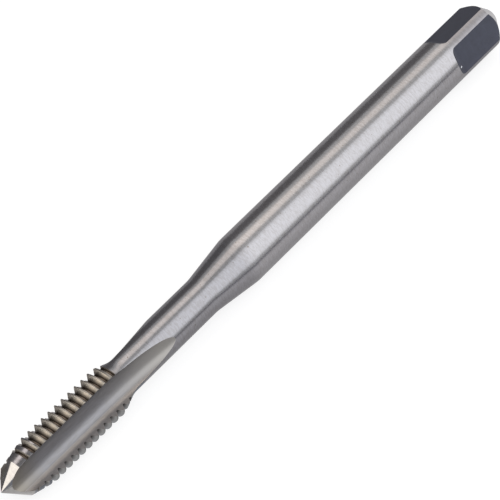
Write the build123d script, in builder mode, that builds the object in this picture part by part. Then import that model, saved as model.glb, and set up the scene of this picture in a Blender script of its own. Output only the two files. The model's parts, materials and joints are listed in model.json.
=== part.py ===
from build123d import *
import os
from math import asin, ceil, cos, degrees, radians, sin, sqrt, tan

# A straight-fluted thread tap, M6 x 1, with a shank of the thread's own size.
# It is ground from one bar of high-speed steel, so it is one solid.
# The axis lies along X. The drive end's face is at the origin, the point is towards -X,
# and the tap lies on its shank as it would on a bench.

# Lengths along the axis, each measured back from the very tip of the point
overall_length = 82.4
thread_back = 15.6
neck_front = 17.8
flute_end = 24.8
neck_end = 31.4
shank_start = 37.4

# Point and lead
tip_flat_diameter = 0.16
point_angle = 90.0
point_base_diameter = 4.8
lead_angle = 13.5

# Thread
major_diameter = 6.1
pitch = 1.0
thread_depth = 0.62
flank_angle = 60.0
crest_flat = 0.125
thread_phase = 0.15

# Neck, shank and drive square
neck_diameter = 4.5
neck_blend_radius = 3.0
shank_diameter = 6.0
across_flats = 4.9
flat_count = 4
flat_length = 8.3
flat_runout_radius = 1.25
end_chamfer = 1.9
square_turn = 64.25

# Flutes
flute_count = 3
core_diameter = 1.9
land_angle = 45.5
rake_angle = 14.0
hook_radius = 1.28
wheel_radius = 52.0
flute_turn = 60.0

# How far the cutters stand clear of the work
groove_clearance = 0.05
flute_clearance = 0.4

# Radii and lengths that follow from the sizes above
major_radius = major_diameter / 2
root_radius = major_radius - thread_depth
shank_radius = shank_diameter / 2
neck_radius = neck_diameter / 2
core_radius = core_diameter / 2
point_base_radius = point_base_diameter / 2
tip_radius = tip_flat_diameter / 2
point_length = (point_base_radius - tip_radius) / tan(radians(point_angle / 2))
lead_length = (major_radius - point_base_radius) / tan(radians(lead_angle))


def station(from_tip):
    """The X of a place that is this far back from the tip."""
    return from_tip - overall_length


def outward(turn):
    """The direction square to the axis, this many degrees about +X from straight up."""
    return Vector(0, -sin(radians(turn)), cos(radians(turn)))


def cross_plane(from_tip, turn):
    """A plane across the axis, with its own x pointing outward at this turn."""
    return Plane(origin=(station(from_tip), 0, 0), x_dir=outward(turn), z_dir=(1, 0, 0))


# Groove section: a V with a narrow flat root, a little taller than the thread is deep
flank_slope = tan(radians(flank_angle / 2))
groove_half = (pitch - crest_flat) / 2
root_half = groove_half - thread_depth * flank_slope
top_half = groove_half + groove_clearance * flank_slope
groove_top = thread_depth + groove_clearance
groove_start = point_length + (thread_phase - 1) * pitch
groove_turns = ceil((neck_front - groove_start) / pitch)

# Flute section: the cutting face leans forward by the rake angle and meets a hooked bottom,
# and one larger arc leads from the bottom up to the heel of the land before it.
flute_half_angle = radians((360 / flute_count - land_angle) / 2)
edge_x = major_radius * cos(flute_half_angle)
edge_y = major_radius * sin(flute_half_angle)
face_turn = 90 - degrees(flute_half_angle) + rake_angle
face_slope = tan(radians(90 - face_turn))
corner_y = edge_y - (edge_x - core_radius) * face_slope
bottom_y = corner_y - hook_radius * tan(radians(face_turn) / 2)
past_rim = major_radius - edge_x + flute_clearance


def flute_section(from_tip, turn):
    """One flute's section across the axis, closed well outside the thread."""
    with BuildSketch(cross_plane(from_tip, turn)) as section:
        with BuildLine():
            hook = JernArc((core_radius, bottom_y), (0, 1), hook_radius, -face_turn)
            face_end = (edge_x + past_rim, edge_y + past_rim * face_slope)
            heel = (edge_x, -edge_y)
            heel_end = (edge_x + past_rim, -edge_y - past_rim * tan(flute_half_angle))
            Line(hook @ 1, face_end)
            TangentArc((core_radius, bottom_y), heel, tangent=(0, -1))
            Polyline(heel, heel_end, face_end)
        make_face()
    return section


# The grinding wheel's path: along the axis, then up out of the work on the wheel's own radius
rise = neck_radius - core_radius
flute_straight = flute_end - sqrt(2 * wheel_radius * rise - rise**2)
clear_rise = major_radius + flute_clearance - core_radius
runout_arc = degrees(asin(sqrt(2 * wheel_radius * clear_rise - clear_rise**2) / wheel_radius))

# One turn of the thread groove
with BuildPart() as groove_turn:
    with BuildLine() as turn_path:
        Helix(
            pitch,
            pitch,
            root_radius,
            center=(station(groove_start), 0, 0),
            direction=(1, 0, 0),
        )
    turn_start = turn_path.line @ 0
    groove_plane = Plane(
        origin=turn_start,
        x_dir=(0, turn_start.Y, turn_start.Z),
        z_dir=turn_path.line % 0,
    )
    with BuildSketch(groove_plane):
        with BuildLine():
            Polyline(
                (0, -root_half),
                (groove_top, -top_half),
                (groove_top, top_half),
                (0, root_half),
                close=True,
            )
        make_face()
    sweep(path=turn_path.line, is_frenet=True)

with BuildPart() as tap:
    # Blank, turned about the axis
    with BuildSketch(Plane.XY):
        with BuildLine():
            outline = FilletPolyline(
                (station(0), 0),
                (station(0), tip_radius),
                (station(point_length), point_base_radius),
                (station(point_length + lead_length), major_radius),
                (station(thread_back), major_radius),
                (station(neck_front), neck_radius),
                (station(neck_end), neck_radius),
                (station(shank_start), shank_radius),
                (-end_chamfer, shank_radius),
                (0, shank_radius - end_chamfer),
                (0, 0),
                radius=[0, 0, 0, 0, neck_blend_radius, 0, 0, 0, 0],
            )
            Line(outline @ 1, outline @ 0)
        make_face()
    revolve(axis=Axis.X)

    # Thread groove, cut a turn at a time from the lead to the back of the thread
    for number in range(groove_turns):
        with Locations((number * pitch, 0, 0)):
            add(groove_turn.part, mode=Mode.SUBTRACT)

    # Flutes, straight from the point and then up out of the neck
    for number in range(flute_count):
        turn = flute_turn + number * 360 / flute_count
        section = flute_section(flute_straight, turn)
        extrude(section.sketch, amount=-(flute_straight + flute_clearance), mode=Mode.SUBTRACT)
        start_plane = cross_plane(flute_straight, turn)
        wheel_centre = start_plane.from_local_coords((core_radius + wheel_radius, 0, 0))
        revolve(
            section.sketch,
            axis=Axis(wheel_centre, start_plane.y_dir),
            revolution_arc=runout_arc,
            mode=Mode.SUBTRACT,
        )

    # Drive square, flats that each run out on a small radius
    for number in range(flat_count):
        flat_normal = outward(square_turn + number * 360 / flat_count)
        flat_plane = Plane(
            origin=(0, 0, 0),
            x_dir=(1, 0, 0),
            z_dir=Vector(1, 0, 0).cross(flat_normal),
        )
        with BuildSketch(flat_plane) as flat:
            with BuildLine():
                level = Line((end_chamfer, across_flats / 2), (-flat_length, across_flats / 2))
                ramp = JernArc(level @ 1, (-1, 0), flat_runout_radius, -90)
                Polyline(
                    ramp @ 1,
                    ((ramp @ 1).X, shank_diameter),
                    (end_chamfer, shank_diameter),
                    level @ 0,
                )
            make_face()
        extrude(flat.sketch, amount=shank_diameter, both=True, mode=Mode.SUBTRACT)

tap.part.label = "tap"
os.makedirs("parts", exist_ok=True)
export_step(tap.part, "parts/tap.step")
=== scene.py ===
# %% [markdown]
# # A straight-fluted thread tap
#
# A thread tap is a hardened steel screw with channels ground along it. It is turned into a
# drilled hole, and each edge between a channel and the thread shaves a little more of the hole
# wall away until a nut thread is left. This one is for an M6 thread. It is ground from one bar,
# so it is one piece: a pointed tip, a short tapered lead, the thread with three straight
# flutes, a thin neck, a plain shank, and a small square for the wrench.
#
# The lesson models it the way it is made. A round blank comes first, and then one cutter for
# each later step is taken away from it: the flats of the square, the flutes, the thread.

# %% Load the fixed frame
import json
from math import asin, ceil, cos, pi, radians, sin, sqrt, tan

import bpy
from mathutils import Matrix, Vector

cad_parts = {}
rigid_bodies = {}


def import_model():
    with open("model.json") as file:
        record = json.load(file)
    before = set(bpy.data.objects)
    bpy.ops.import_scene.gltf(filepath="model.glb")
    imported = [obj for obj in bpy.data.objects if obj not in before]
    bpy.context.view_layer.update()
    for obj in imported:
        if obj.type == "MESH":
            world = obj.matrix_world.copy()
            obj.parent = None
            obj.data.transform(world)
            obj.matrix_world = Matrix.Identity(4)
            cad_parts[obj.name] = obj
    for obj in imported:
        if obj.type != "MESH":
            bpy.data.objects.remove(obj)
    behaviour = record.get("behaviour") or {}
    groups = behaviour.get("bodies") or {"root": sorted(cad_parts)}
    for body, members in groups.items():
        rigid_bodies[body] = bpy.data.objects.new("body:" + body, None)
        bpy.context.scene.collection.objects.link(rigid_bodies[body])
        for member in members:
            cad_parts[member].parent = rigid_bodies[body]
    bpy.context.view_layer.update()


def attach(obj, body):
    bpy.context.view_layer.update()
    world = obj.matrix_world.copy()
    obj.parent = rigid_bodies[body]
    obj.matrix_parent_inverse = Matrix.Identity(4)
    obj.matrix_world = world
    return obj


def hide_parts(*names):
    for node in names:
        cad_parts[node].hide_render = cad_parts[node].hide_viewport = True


for leftover in list(bpy.data.objects):
    bpy.data.objects.remove(leftover)

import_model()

# %% [markdown]
# ## The drawing
#
# The sizes are those of the tap's drawing, in millimetres. Lengths are measured back from the
# very tip, because that is where a toolmaker starts. The tap lies along X with its drive end at
# the origin, so the tip is at minus the overall length. A turn is in degrees about the X axis,
# from straight up.
#
# Blender measures in metres, and a six millimetre rod is small for its default tolerances. So
# the tap is modelled with one Blender unit for each millimetre, and made real size at the end.

# %% Sizes in millimetres
OVERALL_LENGTH = 82.4
TIP_RADIUS = 0.08
POINT_BASE_RADIUS = 2.4
LEAD_ANGLE = radians(13.5)
MAJOR_RADIUS = 3.05
THREAD_BACK = 15.6
NECK_FRONT = 17.8
NECK_RADIUS = 2.25
NECK_BLEND = 3.0
FLUTE_END = 24.8
NECK_END = 31.4
SHANK_START = 37.4
SHANK_RADIUS = 3.0
END_CHAMFER = 1.9

# The point's cone leans at 45 degrees, so it is as long as it rises.
POINT_LENGTH = POINT_BASE_RADIUS - TIP_RADIUS
LEAD_END = POINT_LENGTH + (MAJOR_RADIUS - POINT_BASE_RADIUS) / tan(LEAD_ANGLE)
MM = 0.001


def station(from_tip):
    """The X of a place that is this far back from the tip."""
    return from_tip - OVERALL_LENGTH


print("lead runs from", round(POINT_LENGTH, 2), "to", round(LEAD_END, 2), "mm behind the tip")

# %% [markdown]
# ## Small helpers
#
# Every operator acts on what is selected, so each step starts by selecting nothing and then
# picking its vertices or faces by their place. The helpers keep that short. One makes a piece
# the only selected one, two pick vertices or faces by a test, and the rest turn a piece, copy it
# and cut with it.

# %% Helpers for selecting
def only(piece):
    """Makes this object the only selected one, and the active one."""
    if bpy.context.object and bpy.context.object.mode != "OBJECT":
        bpy.ops.object.mode_set(mode="OBJECT")
    bpy.ops.object.select_all(action="DESELECT")
    piece.select_set(True)
    bpy.context.view_layer.objects.active = piece


def pick(piece, kind, test):
    """Selects the vertices or faces that pass the test, and stays in edit mode."""
    bpy.ops.object.mode_set(mode="OBJECT")
    mesh = piece.data
    for elements in (mesh.polygons, mesh.edges, mesh.vertices):
        for element in elements:
            element.select = False
    for element in mesh.polygons if kind == "FACE" else mesh.vertices:
        element.select = test(element)
    bpy.ops.object.mode_set(mode="EDIT")
    bpy.ops.mesh.select_mode(type=kind)


def pick_vertices(piece, test):
    """Selects the vertices whose position passes the test."""
    pick(piece, "VERT", lambda vertex: test(vertex.co))


def pick_faces(piece, test):
    """Selects the faces that pass the test on their centre and normal."""
    pick(piece, "FACE", lambda face: test(face.center, face.normal))


print("ready to select")

# %% Helpers for turning and cutting
def freeze_turn(piece, turn):
    """Turns the piece about the X axis by this many degrees and keeps it in the mesh."""
    only(piece)
    piece.matrix_world = Matrix.Rotation(radians(turn), 4, "X") @ piece.matrix_world
    bpy.ops.object.transform_apply(location=True, rotation=True, scale=True)


def copies_round(piece, first_turn, count):
    """Even copies of the piece round the X axis, each with its own mesh. The piece goes."""
    twins = []
    for number in range(count):
        only(piece)
        bpy.ops.object.duplicate(linked=False)
        twin = bpy.context.object
        freeze_turn(twin, first_turn + number * 360 / count)
        twins.append(twin)
    bpy.data.objects.remove(piece)
    return twins


def cut_away(work, cutter):
    """Takes the cutter's volume out of the work, then throws the cutter away."""
    only(work)
    bpy.ops.object.modifier_add(type="BOOLEAN")
    cut = work.modifiers[-1]
    cut.operation = "DIFFERENCE"
    cut.solver = "EXACT"
    cut.object = cutter
    cut.material_mode = "TRANSFER"
    bpy.ops.object.modifier_apply(modifier=cut.name)
    bpy.data.objects.remove(cutter)


print("ready to turn and cut")

# %% [markdown]
# ## How a finish is made
#
# The bar is one steel, but each grinding step leaves its own finish, and the flats of the square
# keep the dark skin that the heat of hardening left on them. So there are seven materials. Each
# cutter carries the finish of the faces it makes, and the boolean hands it on to them.
#
# Bare steel is a metallic surface whose base colour is its reflectance. Two things keep it from
# looking like plastic. The grinding lines are a noise in the bump, long along the lines and
# short across them. And the colour drifts a little between a clean and a dull steel, by a
# second and cloudier noise. Everything reads Object coordinates, so it stays put on the tap.

# %% Material helpers
def new_finish(name, colour, roughness, metallic=1.0):
    """A plain metallic material, its node tree and its shader, ready for marks to be added."""
    finish = bpy.data.materials.new(name)
    finish.use_nodes = True
    tree = finish.node_tree
    shader = tree.nodes["Principled BSDF"]
    shader.inputs["Base Color"].default_value = (*colour, 1)
    shader.inputs["Metallic"].default_value = metallic
    shader.inputs["Roughness"].default_value = roughness
    return finish, tree, shader


def object_place(tree):
    """Where each point is on the tap, in metres."""
    return tree.nodes.new("ShaderNodeTexCoord").outputs["Object"]


def along_tap(tree):
    """How far along X each point is, in metres."""
    split = tree.nodes.new("ShaderNodeSeparateXYZ")
    tree.links.new(object_place(tree), split.inputs["Vector"])
    return split.outputs["X"]


def length_of(tree, vector):
    """The length of the vector at each point."""
    length = tree.nodes.new("ShaderNodeVectorMath")
    length.operation = "LENGTH"
    tree.links.new(vector, length.inputs[0])
    return length.outputs["Value"]


def object_noise(tree, lengths, detail=4.0):
    """Noise with features this many millimetres long in X, Y and Z."""
    mapping = tree.nodes.new("ShaderNodeMapping")
    mapping.inputs["Scale"].default_value = tuple(1 / (MM * length) for length in lengths)
    noise = tree.nodes.new("ShaderNodeTexNoise")
    noise.inputs["Scale"].default_value = 1.0
    noise.inputs["Detail"].default_value = detail
    noise.inputs["Roughness"].default_value = 0.6
    tree.links.new(object_place(tree), mapping.inputs["Vector"])
    tree.links.new(mapping.outputs["Vector"], noise.inputs["Vector"])
    return noise.outputs["Fac"]


def remap(tree, source, low, high, to_low=0.0, to_high=1.0):
    """The source stretched from low..high to to_low..to_high, held at the ends."""
    ramp = tree.nodes.new("ShaderNodeMapRange")
    ramp.inputs["From Min"].default_value = low
    ramp.inputs["From Max"].default_value = high
    ramp.inputs["To Min"].default_value = to_low
    ramp.inputs["To Max"].default_value = to_high
    tree.links.new(source, ramp.inputs["Value"])
    return ramp.outputs["Result"]


def mix_colour(tree, share, first, second, blend="MIX"):
    """The first colour turning into the second. Each of them is a colour or another mix."""
    mix = tree.nodes.new("ShaderNodeMix")
    mix.data_type = "RGBA"
    mix.blend_type = blend
    # A Mix node has an A, a B and a Result for each kind of data, so they go by number here.
    for socket, colour in ((mix.inputs[6], first), (mix.inputs[7], second)):
        if isinstance(colour, tuple):
            socket.default_value = (*colour, 1)
        else:
            tree.links.new(colour, socket)
    tree.links.new(share, mix.inputs["Factor"])
    return mix.outputs[2]


print("ready to make finishes")

# %% Grinding lines and drifting colour
CLOUD_DETAIL = 6
CLOUD_LOW = 0.35
CLOUD_HIGH = 0.62
MICROMETRE = 1e-6


def grinding_lines(tree, shader, lengths, depth_um):
    """Fine lines in the bump, this many thousandths of a millimetre deep."""
    bump = tree.nodes.new("ShaderNodeBump")
    bump.inputs["Strength"].default_value = 1.0
    bump.inputs["Distance"].default_value = depth_um * MICROMETRE
    tree.links.new(object_noise(tree, lengths), bump.inputs["Height"])
    tree.links.new(bump.outputs["Normal"], shader.inputs["Normal"])


def drifting(tree, lengths, dull, clean, low=CLOUD_LOW, high=CLOUD_HIGH):
    """A colour that drifts between dull and clean, in clouds of these lengths."""
    cloud = object_noise(tree, lengths, CLOUD_DETAIL)
    return mix_colour(tree, remap(tree, cloud, low, high), dull, clean)


print("ready to grind")

# %% [markdown]
# ## Finish of the ground round parts
#
# The shank, cone, neck and lead are ground while the bar spins, so the lines go round it and the
# noise is short along X. The neck is ground deeper with a coarser wheel and is a little darker,
# and so are the corners of the square, which the skin of hardening has dulled. Those are the
# same finish multiplied by a tone, by place along X, so that no seam shows. The first value of
# each TURNS pair is the place in metres where a tone starts, and the second is where it is full.
# A few dark specks come from a noise that is cut off near its top.

# %% Finish of the ground round parts
GROUND = (0.436, 0.431, 0.445)
GROUND_DULL = (0.386, 0.376, 0.38)
GROUND_ROUGHNESS = 0.21
SPECK = (0.25, 0.22, 0.19)
SPECK_SIZE = (0.35, 0.35, 0.35)
SPECK_CUT = (0.755, 0.78)
NECK_TONE = (0.8, 0.805, 0.82)
NECK_TURNS = (-0.0445, -0.0465)
CORNER_TONE = (0.86, 0.85, 0.865)
CORNER_TURNS = (-0.0092, -0.0076)
CORNER_ROUGHNESS = 0.34

ground_steel, tree, shader = new_finish("ground_steel", GROUND, GROUND_ROUGHNESS)
grinding_lines(tree, shader, (0.09, 2.5, 2.5), depth_um=0.7)
colour = drifting(tree, (0.22, 0.6, 0.6), GROUND_DULL, GROUND, low=0.38, high=0.6)
speck = remap(tree, object_noise(tree, SPECK_SIZE, detail=1), *SPECK_CUT)
colour = mix_colour(tree, speck, colour, SPECK)
on_neck = remap(tree, along_tap(tree), *NECK_TURNS)
colour = mix_colour(tree, on_neck, colour, NECK_TONE, "MULTIPLY")
at_square = remap(tree, along_tap(tree), *CORNER_TURNS)
colour = mix_colour(tree, at_square, colour, CORNER_TONE, "MULTIPLY")
tree.links.new(colour, shader.inputs["Base Color"])
roughness = remap(tree, at_square, 0, 1, GROUND_ROUGHNESS, CORNER_ROUGHNESS)
tree.links.new(roughness, shader.inputs["Roughness"])
print("finish:", ground_steel.name)

# %% [markdown]
# ## Finish of the point
#
# The cone at the tip is ground last, on a fine wheel. It is the smoothest and cleanest face of
# the tap, so it has the lowest roughness and the shallowest lines.

# %% Finish of the point
POINT = (0.48, 0.47, 0.46)
POINT_DULL = (0.42, 0.41, 0.4)

point_steel, tree, shader = new_finish("point_steel", POINT, roughness=0.12)
grinding_lines(tree, shader, (0.06, 1.5, 1.5), depth_um=0.3)
colour = drifting(tree, (0.3, 0.5, 0.5), POINT_DULL, POINT)
tree.links.new(colour, shader.inputs["Base Color"])
print("finish:", point_steel.name)

# %% [markdown]
# ## Finish of the flats
#
# The square is milled before hardening and isn't ground again, so its flats keep the blue-black
# oxide. An oxide is only partly a metal, and it is matt. One flat has a small nick, where the
# oxide is chipped and a glint shows. It could be modelled, but it is a fifth of a millimetre long,
# so it
# is a spot in the colour: bare steel painted far brighter than steel, a painted highlight. The
# Mapping node makes a small ellipsoid the unit ball, and inside it the painted glint shows.

# %% Finish of the flats, with the nick and its painted glint
OXIDE = (0.074, 0.08, 0.108)
OXIDE_DULL = (0.064, 0.068, 0.09)
# The nick's colour is a painted glint: bare steel, painted much brighter than the steel is.
BARE_GLINT = (0.8, 0.82, 0.85)
NICK_GLINT_AT = (-0.00868, -0.00258, 0.00043)
NICK_GLINT_ALONG = Vector((0.75, 0.287, 0.594))
NICK_GLINT_HALF_SIZE = (0.00015, 0.00004, 0.0002)
NICK_GLINT_EDGE = (1.2, 0.8)

dark_oxide, tree, shader = new_finish("dark_oxide", OXIDE, roughness=0.45, metallic=0.6)
patches = remap(tree, object_noise(tree, (0.8, 0.8, 0.8), detail=8), 0.3, 0.7)
colour = mix_colour(tree, patches, OXIDE_DULL, OXIDE)
around_nick_glint = tree.nodes.new("ShaderNodeMapping")
around_nick_glint.vector_type = "TEXTURE"
around_nick_glint.inputs["Location"].default_value = NICK_GLINT_AT
around_nick_glint.inputs["Rotation"].default_value = NICK_GLINT_ALONG.to_track_quat("X", "Z").to_euler()
around_nick_glint.inputs["Scale"].default_value = NICK_GLINT_HALF_SIZE
tree.links.new(object_place(tree), around_nick_glint.inputs["Vector"])
# Inside the small ellipsoid the painted glint replaces the oxide.
nick_and_glint = remap(tree, length_of(tree, around_nick_glint.outputs["Vector"]), *NICK_GLINT_EDGE)
tree.links.new(mix_colour(tree, nick_and_glint, colour, BARE_GLINT), shader.inputs["Base Color"])
print("finish:", dark_oxide.name)

# %% [markdown]
# ## Finish of the flutes and cutting faces
#
# A flute's wheel travels along the tap, so its lines run lengthwise: the noise is long along X.
# The hooked bottom and the heel are left rough from one deep pass. They are browner at the tip,
# and paler where the wheel lifts out of the neck. The cutting face is ground once more to
# sharpen the edge, so it is a brighter finish of its own.

# %% Finish of the flutes
FLUTE = (0.284, 0.283, 0.295)
FLUTE_DULL = (0.255, 0.252, 0.256)
FLUTE_TIP = (0.275, 0.255, 0.222)
FLUTE_TIP_TURNS = (-0.0775, -0.081)
FLUTE_RUNOUT = (0.335, 0.324, 0.305)
FLUTE_RUNOUT_TURNS = (-0.0685, -0.06)
LENGTHWISE = (4.0, 0.1, 0.1)
LENGTHWISE_CLOUD = (1.5, 0.3, 0.3)

flute_steel, tree, shader = new_finish("flute_steel", FLUTE, roughness=0.43)
grinding_lines(tree, shader, LENGTHWISE, depth_um=0.8)
colour = drifting(tree, LENGTHWISE_CLOUD, FLUTE_DULL, FLUTE)
near_tip = remap(tree, along_tap(tree), *FLUTE_TIP_TURNS)
colour = mix_colour(tree, near_tip, colour, FLUTE_TIP)
run_out = remap(tree, along_tap(tree), *FLUTE_RUNOUT_TURNS)
colour = mix_colour(tree, run_out, colour, FLUTE_RUNOUT)
tree.links.new(colour, shader.inputs["Base Color"])
print("finish:", flute_steel.name)

# %% Finish of the cutting faces
FACE = (0.4, 0.382, 0.37)
FACE_DULL = (0.355, 0.336, 0.322)

face_steel, tree, shader = new_finish("face_steel", FACE, roughness=0.34)
grinding_lines(tree, shader, LENGTHWISE, depth_um=0.6)
colour = drifting(tree, LENGTHWISE_CLOUD, FACE_DULL, FACE)
tree.links.new(colour, shader.inputs["Base Color"])
print("finish:", face_steel.name)

# %% [markdown]
# ## Finish of the thread
#
# The thread's flanks are smooth and bright, and most of what they show is each other: a flank
# mirrors its neighbour, which mirrors the light. Towards the root the colour is painted dark, as
# painted shade deep in the groove, so it depends on the distance from the axis. The crests are
# what is left of the blank, worn duller.

# %% Finish of the thread groove
# The root colour is painted shade: the groove is painted darker towards its root.
GROOVE_ROOT_SHADE = (0.1, 0.082, 0.068)
GROOVE_FLANK = (0.655, 0.622, 0.57)
ROOT_SHADE_TURNS = (0.00245, 0.00285)

groove_steel, tree, shader = new_finish("groove_steel", GROOVE_FLANK, roughness=0.24)
flatten = tree.nodes.new("ShaderNodeMapping")
flatten.inputs["Scale"].default_value = (0, 1, 1)
tree.links.new(object_place(tree), flatten.inputs["Vector"])
from_axis = length_of(tree, flatten.outputs["Vector"])
# Painted shade: the colour darkens from the flank towards the root.
height = remap(tree, from_axis, *ROOT_SHADE_TURNS)
colour = mix_colour(tree, height, GROOVE_ROOT_SHADE, GROOVE_FLANK)
tree.links.new(colour, shader.inputs["Base Color"])
print("finish:", groove_steel.name)

# %% Finish of the crests
CREST = (0.35, 0.325, 0.295)
CREST_DULL = (0.27, 0.25, 0.225)

crest_steel, tree, shader = new_finish("crest_steel", CREST, roughness=0.35)
colour = drifting(tree, (0.4, 0.4, 0.4), CREST_DULL, CREST)
tree.links.new(colour, shader.inputs["Base Color"])
print("finish:", crest_steel.name)

# %% [markdown]
# ## The blank
#
# A tap starts as a round bar that is turned to its outline: point, lead, thread diameter, neck,
# cone, shank and end chamfer. It could be a spun profile, but building it ring by ring from a
# circle gives the same shape and keeps even strips of faces along the whole length, which the
# later cuts like. Each ring is an extrusion along X and then a scaling about the axis.
#
# Where the taper behind the thread meets the neck, the wheel leaves a small blend instead of a
# corner, so a few rings follow an arc there. The cone's two ends are softened in the same way.
# One more ring, on the taper, marks where the dull finish of the crests ends.

# %% Rings along an arc
def blend(before, corner, after, radius, steps):
    """Ring places along an arc of this radius that rounds the corner between two lines."""
    corner_at = Vector(corner)
    into = (Vector(before) - corner_at).normalized()
    out = (Vector(after) - corner_at).normalized()
    half = into.angle(out) / 2
    setback = radius / tan(half)
    centre = corner_at + (into + out).normalized() * (radius / sin(half))
    start = corner_at + into * setback - centre
    end = corner_at + out * setback - centre
    sweep = start.angle_signed(end)
    places = []
    for step in range(steps + 1):
        share = -sweep * step / steps
        spoke = Vector((
            start.x * cos(share) - start.y * sin(share),
            start.x * sin(share) + start.y * cos(share),
        ))
        places.append(tuple(centre + spoke))
    return places


print("ready to round corners")

# %% Outline of the blank, as rings of distance from the tip and radius
CONE_BLEND = 6.0
NECK_BLEND_STEPS = 6
CONE_BLEND_STEPS = 4
CREST_FINISH_END = 16.5

corners = [
    (0, TIP_RADIUS),
    (POINT_LENGTH, POINT_BASE_RADIUS),
    (LEAD_END, MAJOR_RADIUS),
    (THREAD_BACK, MAJOR_RADIUS),
    (NECK_FRONT, NECK_RADIUS),
    (NECK_END, NECK_RADIUS),
    (SHANK_START, SHANK_RADIUS),
    (OVERALL_LENGTH - END_CHAMFER, SHANK_RADIUS),
    (OVERALL_LENGTH, SHANK_RADIUS - END_CHAMFER),
]
taper = (MAJOR_RADIUS - NECK_RADIUS) / (NECK_FRONT - THREAD_BACK)
rings = corners[:4]
rings.append((CREST_FINISH_END, MAJOR_RADIUS - taper * (CREST_FINISH_END - THREAD_BACK)))
rings += blend(*corners[3:6], NECK_BLEND, NECK_BLEND_STEPS)
rings += blend(*corners[4:7], CONE_BLEND, CONE_BLEND_STEPS)
rings += blend(*corners[5:8], CONE_BLEND, CONE_BLEND_STEPS)
rings += corners[7:]
print(len(rings), "rings, from", rings[0], "to", rings[-1])

# %% Turn the blank
ROUND_SEGMENTS = 160

bpy.ops.object.select_all(action="DESELECT")
bpy.ops.mesh.primitive_circle_add(
    vertices=ROUND_SEGMENTS,
    radius=rings[0][1],
    fill_type="NGON",
    location=(station(rings[0][0]), 0, 0),
    rotation=(0, pi / 2, 0),
)
tap = bpy.context.object
tap.name = "tap_ground_steel"
bpy.ops.object.transform_apply(location=True, rotation=True, scale=True)
bpy.ops.object.mode_set(mode="EDIT")
bpy.ops.mesh.select_mode(type="FACE")
bpy.ops.mesh.select_all(action="SELECT")
for (here, radius), (there, next_radius) in zip(rings, rings[1:]):
    bpy.ops.mesh.extrude_region_move(TRANSFORM_OT_translate={"value": (there - here, 0, 0)})
    growth = next_radius / radius
    bpy.ops.transform.resize(
        value=(1, growth, growth), center_override=(station(there), 0, 0)
    )
bpy.ops.mesh.select_all(action="SELECT")
bpy.ops.mesh.normals_make_consistent(inside=False)
bpy.ops.object.mode_set(mode="OBJECT")
print("blank:", len(tap.data.polygons), "faces, size", [round(d, 3) for d in tap.dimensions])

# %% Give the blank its finishes
BEFORE_TIP = -1.0

tap.data.materials.append(ground_steel)
finish_zones = (
    (point_steel, BEFORE_TIP, POINT_LENGTH),
    (crest_steel, LEAD_END, CREST_FINISH_END),
)
for slot, (finish, front, back) in enumerate(finish_zones, start=1):
    tap.data.materials.append(finish)
    tap.active_material_index = slot
    pick_faces(tap, lambda at, out: station(front) < at.x < station(back))
    bpy.ops.object.material_slot_assign()
bpy.ops.object.mode_set(mode="OBJECT")
print("finishes on the blank:", [finish.name for finish in tap.data.materials])

# %% [markdown]
# ## The drive square
#
# The square is four flats milled on the end of the shank, where the wrench grips. The milling
# cutter's rim is rounded, so each flat ends in a small ramp and not in a step. Here the cutter is
# a box with that edge rounded by a bevel. Modelled once, it is copied to the four sides.

# %% Shape the cutter for a flat
ACROSS_FLATS = 4.9
FLAT_COUNT = 4
FLAT_LENGTH = 8.3
FLAT_RUNOUT = 1.25
RUNOUT_STEPS = 16
SQUARE_TURN = 64.25
CLEAR = 1.0
NEAR = 0.1

cutter_front = -(FLAT_LENGTH + FLAT_RUNOUT)
cutter_length = CLEAR - cutter_front
cutter_height = SHANK_RADIUS

bpy.ops.object.select_all(action="DESELECT")
bpy.ops.mesh.primitive_cube_add(size=1)
flat_cutter = bpy.context.object
flat_cutter.data.materials.append(dark_oxide)
bpy.ops.object.mode_set(mode="EDIT")
bpy.ops.mesh.select_all(action="SELECT")
bpy.ops.transform.resize(value=(cutter_length, 3 * SHANK_RADIUS, cutter_height))
bpy.ops.transform.translate(
    value=(cutter_front + cutter_length / 2, 0, (ACROSS_FLATS + cutter_height) / 2)
)
pick_vertices(
    flat_cutter,
    lambda at: at.x < cutter_front + NEAR and at.z < (ACROSS_FLATS + NEAR) / 2,
)
bpy.ops.mesh.bevel(offset=FLAT_RUNOUT, segments=RUNOUT_STEPS, profile=0.5, affect="EDGES")
bpy.ops.object.mode_set(mode="OBJECT")
print("flat cutter:", len(flat_cutter.data.polygons), "faces")

# %% Cut the four flats
for cutter in copies_round(flat_cutter, SQUARE_TURN, FLAT_COUNT):
    cut_away(tap, cutter)
print("with the square:", len(tap.data.polygons), "faces")

# %% [markdown]
# ## The flutes
#
# A flute carries the chips away and makes the cutting edge. Across the tap it has three parts:
# a nearly flat cutting face that leans forward by the rake angle, a hooked bottom, and a larger
# arc up to the heel of the land before it. Along the tap it is straight from the tip, and then
# the wheel lifts out of the neck on its own large radius.
#
# The section is drawn from a single vertex: spinning it draws an arc, and extruding it draws a
# line. The finished face is extruded past the tip and spun about the wheel's centre.

# %% Flute section from the drawing
FLUTE_COUNT = 3
CORE_RADIUS = 0.95
LAND_ANGLE = 45.5
RAKE_ANGLE = 14.0
HOOK_RADIUS = 1.28
WHEEL_RADIUS = 52.0
FLUTE_TURN = 60.0
FLUTE_CLEAR = 0.4

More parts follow.
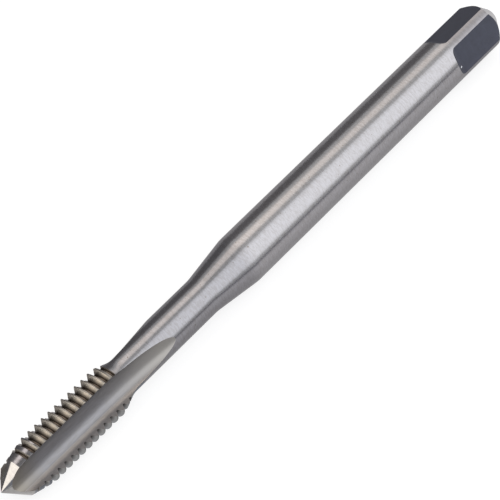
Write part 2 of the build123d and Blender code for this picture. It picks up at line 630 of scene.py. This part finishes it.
half_angle = radians((360 / FLUTE_COUNT - LAND_ANGLE) / 2)
edge_out = MAJOR_RADIUS * cos(half_angle)
edge_side = MAJOR_RADIUS * sin(half_angle)
face_turn = pi / 2 - half_angle + radians(RAKE_ANGLE)
face_slope = tan(pi / 2 - face_turn)
bottom_side = edge_side - (edge_out - CORE_RADIUS) * face_slope - HOOK_RADIUS * tan(face_turn / 2)
heel_out = edge_out - CORE_RADIUS
heel_side = -edge_side - bottom_side
heel_arc_radius = (heel_out**2 + heel_side**2) / (2 * heel_out)
heel_turn = asin(-heel_side / heel_arc_radius)
past_rim = MAJOR_RADIUS - edge_out + FLUTE_CLEAR

rise = NECK_RADIUS - CORE_RADIUS
flute_straight = FLUTE_END - sqrt(2 * WHEEL_RADIUS * rise - rise**2)
clear_rise = MAJOR_RADIUS + FLUTE_CLEAR - CORE_RADIUS
runout_turn = asin(sqrt(2 * WHEEL_RADIUS * clear_rise - clear_rise**2) / WHEEL_RADIUS)
print("heel arc", round(heel_arc_radius, 2), "mm, straight to", round(flute_straight, 2), "mm")

# %% Pen for drawing the section
def across(out, side):
    """A point across the tap at turn 0: out from the axis, and to the side of a growing turn."""
    return Vector((station(flute_straight), -side, out))


def line_to(start, goal):
    """Extrudes the last vertex from the start to the goal."""
    bpy.ops.mesh.extrude_region_move(TRANSFORM_OT_translate={"value": goal - start})
    return goal


def arc_about(start, centre, turn, steps):
    """Spins the last vertex about the centre. Spin counts its angle the other way round."""
    bpy.ops.mesh.spin(steps=steps, angle=-turn, center=centre, axis=(1, 0, 0))
    return centre + Matrix.Rotation(turn, 3, "X") @ (start - centre)


print("ready to draw")

# %% Draw the section
DOT_SIZE = 0.1
HEEL_STEPS = 20
HOOK_STEPS = 16

# A small plane that is merged at its centre gives the single vertex to start from.
heel = across(edge_out, -edge_side)
bpy.ops.object.select_all(action="DESELECT")
bpy.ops.mesh.primitive_plane_add(size=DOT_SIZE, location=heel)
flute_cutter = bpy.context.object
flute_cutter.data.materials.append(flute_steel)
flute_cutter.data.materials.append(face_steel)
bpy.ops.object.transform_apply(location=True, rotation=True, scale=True)
bpy.ops.object.mode_set(mode="EDIT")
bpy.ops.mesh.select_mode(type="VERT")
bpy.ops.mesh.select_all(action="SELECT")
bpy.ops.mesh.merge(type="CENTER")
pen = arc_about(heel, across(CORE_RADIUS + heel_arc_radius, bottom_side), -heel_turn, HEEL_STEPS)
pen = arc_about(pen, across(CORE_RADIUS + HOOK_RADIUS, bottom_side), -face_turn, HOOK_STEPS)
pen = line_to(pen, across(edge_out + past_rim, edge_side + past_rim * face_slope))
pen = line_to(pen, across(edge_out + past_rim, -edge_side - past_rim * tan(half_angle)))
bpy.ops.mesh.select_all(action="SELECT")
bpy.ops.mesh.edge_face_add()
print("section ends at", [round(place, 2) for place in pen])

# %% Sweep it along the wheel's path
WHEEL_STEPS = 24
SAME_PLACE = 1e-4
SQUARE_ON = 0.99
FACE_LEAN = radians(36)

bpy.ops.mesh.select_mode(type="FACE")
bpy.ops.mesh.select_all(action="SELECT")
bpy.ops.mesh.spin(
    steps=WHEEL_STEPS,
    angle=runout_turn,
    center=across(CORE_RADIUS + WHEEL_RADIUS, 0),
    axis=(0, 1, 0),
)
section_x = station(flute_straight)
pick_faces(
    flute_cutter,
    lambda at, out: abs(at.x - section_x) < SAME_PLACE and abs(out.x) > SQUARE_ON,
)
bpy.ops.mesh.extrude_region_move(
    TRANSFORM_OT_translate={"value": (-(flute_straight + FLUTE_CLEAR), 0, 0)}
)
bpy.ops.mesh.select_all(action="SELECT")
bpy.ops.mesh.normals_make_consistent(inside=False)
pick_faces(flute_cutter, lambda at, out: out.y < -sin(FACE_LEAN) and at.z < MAJOR_RADIUS)
flute_cutter.active_material_index = 1
bpy.ops.object.material_slot_assign()
bpy.ops.object.mode_set(mode="OBJECT")
print("flute cutter:", len(flute_cutter.data.polygons), "faces")

# %% Cut the three flutes
for cutter in copies_round(flute_cutter, FLUTE_TURN, FLUTE_COUNT):
    cut_away(tap, cutter)
print("with the flutes:", len(tap.data.polygons), "faces")

# %% [markdown]
# ## The thread
#
# The thread is one groove wound round the tap, a V of 60 degrees with a narrow flat root. It is
# a right-hand thread: seen from the drive end, it moves away as it turns clockwise. The lead has
# the same groove, only shallower, so the groove starts just behind the point and ends in the
# neck, and the blank decides how deep it bites.
#
# A Screw modifier winds one small profile round the axis. The profile is a plane, narrowed at
# its inner edge. The wound tube is closed at both ends, so that the cut knows inside from out.

# %% Groove profile
PITCH = 1.0
THREAD_DEPTH = 0.62
FLANK_LEAN = radians(30)
CREST_FLAT = 0.125
THREAD_PHASE = 0.15
GROOVE_CLEAR = 0.05
START_TURN = 60.0

flank_slope = tan(FLANK_LEAN)
root_radius = MAJOR_RADIUS - THREAD_DEPTH
groove_half = (PITCH - CREST_FLAT) / 2
root_half = groove_half - THREAD_DEPTH * flank_slope
top_half = groove_half + GROOVE_CLEAR * flank_slope
groove_height = THREAD_DEPTH + GROOVE_CLEAR
groove_start = POINT_LENGTH + (THREAD_PHASE + START_TURN / 360) * PITCH
groove_turns = ceil((NECK_FRONT - groove_start) / PITCH)

bpy.ops.object.select_all(action="DESELECT")
bpy.ops.mesh.primitive_plane_add(size=1, rotation=(pi / 2, 0, 0))
groove = bpy.context.object
groove.data.materials.append(groove_steel)
bpy.ops.object.transform_apply(location=True, rotation=True, scale=True)
bpy.ops.object.mode_set(mode="EDIT")
bpy.ops.mesh.select_all(action="SELECT")
bpy.ops.transform.resize(value=(2 * top_half, 1, groove_height))
pick_vertices(groove, lambda at: at.z < 0)
bpy.ops.transform.resize(value=(root_half / top_half, 1, 1), center_override=(0, 0, 0))
bpy.ops.mesh.select_all(action="SELECT")
bpy.ops.transform.translate(
    value=(station(groove_start), 0, root_radius + groove_height / 2)
)
bpy.ops.mesh.delete(type="ONLY_FACE")
bpy.ops.object.mode_set(mode="OBJECT")
freeze_turn(groove, START_TURN)
print("profile:", round(2 * root_half, 3), "mm at the root,", round(2 * top_half, 3), "at the top")

# %% Wind the groove and cut it
STEPS_A_TURN = 120

only(groove)
bpy.ops.object.modifier_add(type="SCREW")
winding = groove.modifiers[-1]
winding.axis = "X"
winding.angle = 2 * pi
winding.screw_offset = PITCH
winding.iterations = groove_turns
winding.steps = STEPS_A_TURN
winding.render_steps = STEPS_A_TURN
bpy.ops.object.modifier_apply(modifier=winding.name)
bpy.ops.object.mode_set(mode="EDIT")
bpy.ops.mesh.select_mode(type="EDGE")
bpy.ops.mesh.select_all(action="DESELECT")
bpy.ops.mesh.select_non_manifold(use_multi_face=False, use_non_contiguous=False, use_verts=False)
bpy.ops.mesh.fill_holes(sides=4)
bpy.ops.mesh.select_all(action="SELECT")
bpy.ops.mesh.normals_make_consistent(inside=False)
bpy.ops.object.mode_set(mode="OBJECT")
print("groove:", groove_turns, "turns,", len(groove.data.polygons), "faces")

cut_away(tap, groove)
print("with the thread:", len(tap.data.polygons), "faces")

# %% [markdown]
# ## Real size and name
#
# The model is scaled from millimetres to metres, and the scale is kept in the mesh, so the
# object itself stays unturned and unscaled at the origin. The edges between rings are shallow
# and are shaded smooth, while the thread's and the flutes' edges stay sharp.

# %% Real size
SMOOTH_BELOW = radians(9)

only(tap)
tap.scale = (MM, MM, MM)
bpy.ops.object.transform_apply(location=True, rotation=True, scale=True)
bpy.ops.object.shade_smooth_by_angle(angle=SMOOTH_BELOW)
print("real size in metres:", [round(d, 5) for d in tap.dimensions])

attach(tap, "root")
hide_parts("tap")

# %% [markdown]
# ## The floor
#
# The tap lies on its shank on a plain pale surface. The floor is white because of its own
# colour: part of it is lit and keeps the soft shadow of the tap, and the rest is an even lift
# that only the camera and mirror-like reflections see. So it doesn't throw light at the tap.

# %% Floor
FLOOR_Z = -SHANK_RADIUS * MM
FLOOR_SIZE = 6

bpy.ops.object.select_all(action="DESELECT")
bpy.ops.mesh.primitive_plane_add(size=FLOOR_SIZE, location=(0, 0, FLOOR_Z))
floor = bpy.context.object
floor.name = "floor"
print("floor at", round(FLOOR_Z, 4), "m, just under the shank")

# %% Its pale paper
FLOOR_GREY = 0.28
FLOOR_LIFT = 0.78

paper, tree, shader = new_finish("pale_paper", (FLOOR_GREY,) * 3, roughness=1.0, metallic=0.0)
shader.inputs["Specular IOR Level"].default_value = 0.0
shader.inputs["Emission Color"].default_value = (1, 1, 1, 1)
ray = tree.nodes.new("ShaderNodeLightPath")
seen = ray.outputs["Is Camera Ray"]
for other in ("Is Glossy Ray", "Is Transmission Ray"):
    either = tree.nodes.new("ShaderNodeMath")
    either.operation = "MAXIMUM"
    tree.links.new(seen, either.inputs[0])
    tree.links.new(ray.outputs[other], either.inputs[1])
    seen = either.outputs[0]
lift = remap(tree, seen, 0, 1, 0, FLOOR_LIFT)
tree.links.new(lift, shader.inputs["Emission Strength"])
floor.data.materials.append(paper)
print("floor colour", FLOOR_GREY, "and lift", FLOOR_LIFT)

# %% [markdown]
# ## The light
#
# Polished steel shows little of its own colour. What we see on it is the room: each stripe along
# the shank is a mirror image of a light, a dark gap between lights, or the floor. A wide soft
# window stands on the camera's side, a narrow warmer strip stands on the far side, and an even
# pale room fills the rest. The window has a brighter middle, so its edges look soft. The strip
# is brighter where the thread and the neck mirror it.
#
# A light's place is given by turns about the tap's axis, because the turn decides where on a
# round bar its stripe appears: the stripe lies halfway between the light and the camera.

# %% The room
WORLD_LEVEL = 0.66

world = bpy.data.worlds.new("soft_room")
bpy.context.scene.world = world
world.use_nodes = True
sky = world.node_tree.nodes["Background"]
sky.inputs["Color"].default_value = (1, 1, 1, 1)
sky.inputs["Strength"].default_value = WORLD_LEVEL
print("room level", WORLD_LEVEL)

# %% Placing a panel
ROOM_FRONT = -0.6
ROOM_BACK = 0.8
X_AXIS = Vector((1, 0, 0))
Y_AXIS = Vector((0, 1, 0))


def outward(turn):
    """The direction square to the axis, this many degrees about X from straight up."""
    return Vector((0, -sin(radians(turn)), cos(radians(turn))))


def facing(at, target, along):
    """A place and turn whose back looks at the target, with its X near this direction."""
    away = (at - target).normalized()
    side = (along - away * along.dot(away)).normalized()
    up = away.cross(side)
    return Matrix((
        (side.x, up.x, away.x, at.x),
        (side.y, up.y, away.y, at.y),
        (side.z, up.z, away.z, at.z),
        (0, 0, 0, 1),
    ))


def beside(low, high, distance, front, back):
    """Place, length and width of a panel that fills these turns between these two X."""
    middle = X_AXIS * ((front + back) / 2)
    at = middle + outward((low + high) / 2) * distance
    width = 2 * distance * tan(radians(high - low) / 2)
    return facing(at, middle, X_AXIS), back - front, width


print("room from", ROOM_FRONT, "to", ROOM_BACK, "m along the tap")

# %% Soft boxes
COOL = (0.95, 0.958, 1.0)
WARM = (1.0, 0.875, 0.77)


def soft_light(name, turns, radiance, colour, distance=0.35, front=ROOM_FRONT, back=ROOM_BACK):
    """A soft box beside the tap, as bright as this radiance."""
    place, length, width = beside(*turns, distance, front, back)
    lamp = bpy.data.lights.new(name, "AREA")
    lamp.shape = "RECTANGLE"
    lamp.size = length
    lamp.size_y = width
    lamp.color = colour
    lamp.energy = radiance * pi * length * width
    panel = bpy.data.objects.new(name, lamp)
    bpy.context.scene.collection.objects.link(panel)
    panel.matrix_world = place
    panel.visible_camera = False
    print(name, "is", round(length, 2), "by", round(width, 2), "m")


soft_light("front_window", (13.5, 78.7), 0.8, COOL)
soft_light("window_middle", (24, 72), 0.17, COOL, distance=0.34)
soft_light("far_strip", (-29.5, -4.5), 0.62, WARM)
soft_light("far_strip_end", (-34, -5), 0.4, WARM, distance=0.345, front=-0.03, back=0.147)

# %% [markdown]
# ## Cards for the reflections
#
# Photographers put grey and white cards just outside the picture, to shape what a shiny object
# mirrors. These cards do only that: no camera, diffuse or shadow ray meets them. The floor gets
# darker strips beside the tap, because its own soft shadow is mirrored in its underside. The
# tip gets a bright card and a grey one, because its cone looks away from both lights, and the
# short lead gets a small glow in front of a dark card.

# %% Making a card
CARD_ABOVE_FLOOR = 0.0001
TIP = Vector((station(0) * MM, 0, 0))


def card(name, place, length, width, shade):
    """A card that shows only in reflections."""
    bpy.ops.object.select_all(action="DESELECT")
    bpy.ops.mesh.primitive_plane_add(size=1)
    sheet = bpy.context.object
    sheet.name = name
    sheet.scale = (length, width, 1)
    bpy.ops.object.transform_apply(location=True, rotation=True, scale=True)
    sheet.matrix_world = place
    glow, tree, shader = new_finish(name, (0, 0, 0), roughness=0.5, metallic=0.0)
    shader.inputs["Specular IOR Level"].default_value = 0.0
    shader.inputs["Emission Color"].default_value = (*shade, 1)
    shader.inputs["Emission Strength"].default_value = 1.0
    sheet.data.materials.append(glow)
    sheet.visible_camera = False
    sheet.visible_diffuse = False
    sheet.visible_shadow = False
    print(name, "is", round(length, 3), "by", round(width, 4), "m")


def floor_card(name, near, far, shade, front=ROOM_FRONT, back=ROOM_BACK):
    """A card just above the floor, between these two Y and these two X."""
    middle = ((front + back) / 2, (near + far) / 2, FLOOR_Z + CARD_ABOVE_FLOOR)
    card(name, Matrix.Translation(middle), back - front, abs(far - near), shade)


def sky_card(name, towards, distance, length, width, shade):
    """A card that faces the tip, in this direction from it."""
    at = TIP + Vector(towards).normalized() * distance
    card(name, facing(at, TIP, Y_AXIS), length, width, shade)


print("ready to put up cards")

# %% Cards on the far side and on the floor around the tap
TAP_FAR_SIDE = 0.006
SHADOW_END = -0.027
FLOOR_FAR_END = 0.3
FLOOR_NEAR_END = -0.34
FAR_FLOOR_SPLIT = -0.075

card("far_flag", *beside(-90, -47, 0.3, ROOM_FRONT, ROOM_BACK), (0.178, 0.172, 0.178))
# Painted shade: in reflections these cards show the floor beyond the tap darker, most of all
# beyond the tip.
far_side = (TAP_FAR_SIDE, FLOOR_FAR_END)
floor_card("far_floor", *far_side, (0.4, 0.39, 0.4), front=FAR_FLOOR_SPLIT)
floor_card("far_floor_before_tip", *far_side, (0.2, 0.19, 0.185), back=FAR_FLOOR_SPLIT)
floor_card("near_floor", SHADOW_END, FLOOR_NEAR_END, (0.205, 0.203, 0.235))

# %% Cards for the tap's own shadow on the floor
THREAD_CARD_FRONT = -0.0795
THREAD_CARD_BACK = -0.062
SHANK_CARD_BACK = 0.004
THREAD_NEAR_SIDE = -0.0045
LESS_GREEN = 0.98
SHADED_FLOOR = (
    (TAP_FAR_SIDE, -0.002, 0.42),
    (-0.002, -0.0033, 0.46),
    (-0.0033, THREAD_NEAR_SIDE, 0.52),
    (THREAD_NEAR_SIDE, -0.006, 0.58),
    (-0.006, -0.0085, 0.66),
    (-0.0085, SHADOW_END, 0.74),
)

under_tap = (TAP_FAR_SIDE, SHADOW_END)
floor_card("floor_before_tip", *under_tap, (0.72, 0.71, 0.71), back=THREAD_CARD_FRONT)
for near, far, level in SHADED_FLOOR:
    shade = (level, LESS_GREEN * level, level)
    floor_card("floor_beside_tap", near, far, shade, THREAD_CARD_BACK, SHANK_CARD_BACK)
for name, near, far, shade in (
    ("floor_under_thread", TAP_FAR_SIDE, THREAD_NEAR_SIDE, (0.34, 0.355, 0.385)),
    ("floor_before_thread", THREAD_NEAR_SIDE, SHADOW_END, (0.35, 0.34, 0.36)),
):
    floor_card(name, near, far, shade, THREAD_CARD_FRONT, THREAD_CARD_BACK)

# %% Cards for the tip and the lead, by direction, distance, length, width and shade
sky_card("tip_card", (-0.878, 0.319, 0.36), 0.25, 0.182, 0.13, (2.1, 1.98, 1.85))
sky_card("tip_flag", (-0.94, -0.23, 0.24), 0.25, 0.09, 0.12, (0.3, 0.31, 0.35))
sky_card("lead_flag", (0.03, 0.34, 0.94), 0.28, 0.32, 0.16, (0.25, 0.24, 0.24))
sky_card("lead_glow", (-0.05, 0.37, 0.93), 0.27, 0.085, 0.1, (1.9, 1.72, 1.64))

# %% [markdown]
# ## The camera
#
# A long lens looks down at the tap from about thirty centimetres away, from beyond its tip and
# to one side, so that the tap runs from the lower left corner of the picture to the upper right.
# The place and the two directions were found by matching the outline and the thread's slant.

# %% Camera
CAMERA_AT = Vector((-0.176621, -0.139773, 0.208964))
FORWARD = Vector((0.46887, 0.49102, -0.73421)).normalized()
NEARLY_UP = Vector((0.61701, 0.41273, 0.67004))
RIGHT = FORWARD.cross(NEARLY_UP).normalized()
UP = RIGHT.cross(FORWARD)

lens = bpy.data.cameras.new("camera")
lens.lens = 192.13
lens.sensor_width = 36
lens.clip_start = 0.01
lens.clip_end = 20
camera = bpy.data.objects.new("camera", lens)
bpy.context.scene.collection.objects.link(camera)
camera.matrix_world = Matrix((
    (RIGHT.x, UP.x, -FORWARD.x, CAMERA_AT.x),
    (RIGHT.y, UP.y, -FORWARD.y, CAMERA_AT.y),
    (RIGHT.z, UP.z, -FORWARD.z, CAMERA_AT.z),
    (0, 0, 0, 1),
))
bpy.context.scene.camera = camera
bpy.context.scene.view_settings.view_transform = "Standard"
print("camera", round(CAMERA_AT.length, 3), "m from the drive end, lens", lens.lens, "mm")
